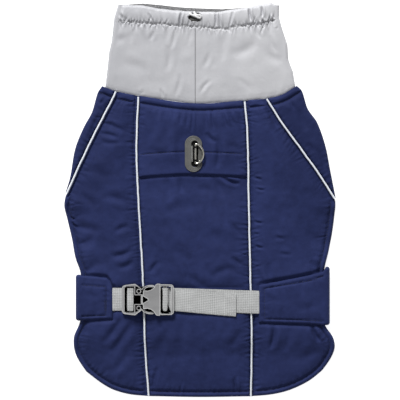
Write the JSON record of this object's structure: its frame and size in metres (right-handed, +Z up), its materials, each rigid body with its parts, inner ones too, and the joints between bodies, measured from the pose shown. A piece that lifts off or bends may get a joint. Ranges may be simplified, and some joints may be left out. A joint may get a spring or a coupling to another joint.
{
  "type": "dog winter coat",
  "caption": "Padded winter coat for a dog, laid flat: tube collar with a drawcord, piped seams, a leash ring on the back and a belly strap with a side-release buckle.",
  "frame": {"origin": "centre of the laid-out coat's outline, on the surface it lies on", "axes": "+X to the wearer's right as seen from above with the collar up, +Y from the hem to the collar, +Z up from the surface, out of the coat's back"},
  "size_m": [0.2957, 0.43, 0.016],
  "materials": {
    "navy_cloth": "padded cloth with a soft matt face",
    "collar_cloth": "satin nylon",
    "piping": "reflective piping",
    "webbing": "woven webbing",
    "buckle_plastic": "moulded, satin",
    "toggle_plastic": "moulded, ribbed",
    "cord": "braided cord",
    "plate_rubber": "moulded, matt",
    "keeper_webbing": "narrow woven tape",
    "ring_steel": "plated wire"
  },
  "bodies": {
    "coat": {"collar": "collar_cloth", "toggle": "toggle_plastic", "drawcord": "cord", "yoke": "navy_cloth", "back_centre": "navy_cloth", "side_left": "navy_cloth", "side_right": "navy_cloth", "shoulder_left": "navy_cloth", "shoulder_right": "navy_cloth", "chest_panel": "navy_cloth", "belly_band": "navy_cloth", "piping_left": "piping", "piping_right": "piping", "piping_diagonal_left": "piping", "piping_diagonal_right": "piping", "webbing_left": "webbing", "webbing_right": "webbing", "webbing_tail": "webbing", "buckle_male": "buckle_plastic", "buckle_female": "buckle_plastic", "leash_plate": "plate_rubber", "ring_keeper": "keeper_webbing"},
    "leash_ring": {"leash_ring": "ring_steel"}
  },
  "joints": [
    {"name": "ring_swing", "type": "hinge", "parent": "coat", "child": "leash_ring", "pos_m": [-0.00496, 0.0501, 0.01175], "axis": [0, -1, 0], "range_deg": [0, 170]}
  ]
}
